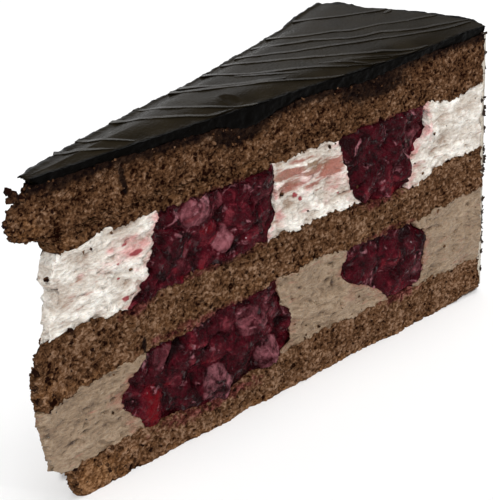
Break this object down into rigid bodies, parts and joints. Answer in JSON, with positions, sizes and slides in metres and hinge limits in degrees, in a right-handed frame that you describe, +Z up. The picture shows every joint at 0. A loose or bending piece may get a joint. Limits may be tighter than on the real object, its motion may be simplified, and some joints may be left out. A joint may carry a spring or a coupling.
{
  "type": "slice of chocolate cherry cake",
  "caption": "Tall wedge of layer cake: chocolate sponges with white and chocolate cream bands, rings of cherries and a dark glaze with drizzle ridges.",
  "frame": {"origin": "middle of the bounding box on the flat underside that the slice stands on", "axes": "+X from the point of the slice to the cake's outer rim, +Y across the slice from the front cut to the back cut, +Z up"},
  "size_m": [0.1373, 0.0522, 0.0742],
  "materials": {
    "glaze": "dark chocolate glaze, semi-gloss",
    "sponge": "open chocolate sponge crumb, matte",
    "white_cream": "knife-dragged whipped cream, satin",
    "chocolate_cream": "knife-dragged milk chocolate cream, satin",
    "cherries": "wet dark red cherries in their jelly, glossy"
  },
  "bodies": {
    "root": {"glaze": "glaze", "top_sponge": "sponge", "tip_cream_white": "white_cream", "inner_cherries_white": "cherries", "middle_cream_white": "white_cream", "outer_cherries_white": "cherries", "rim_cream_white": "white_cream", "middle_sponge": "sponge", "tip_cream_chocolate": "chocolate_cream", "inner_cherries_chocolate": "cherries", "middle_cream_chocolate": "chocolate_cream", "outer_cherries_chocolate": "cherries", "rim_cream_chocolate": "chocolate_cream", "bottom_sponge": "sponge", "side_coat": "white_cream"}
  },
  "joints": []
}
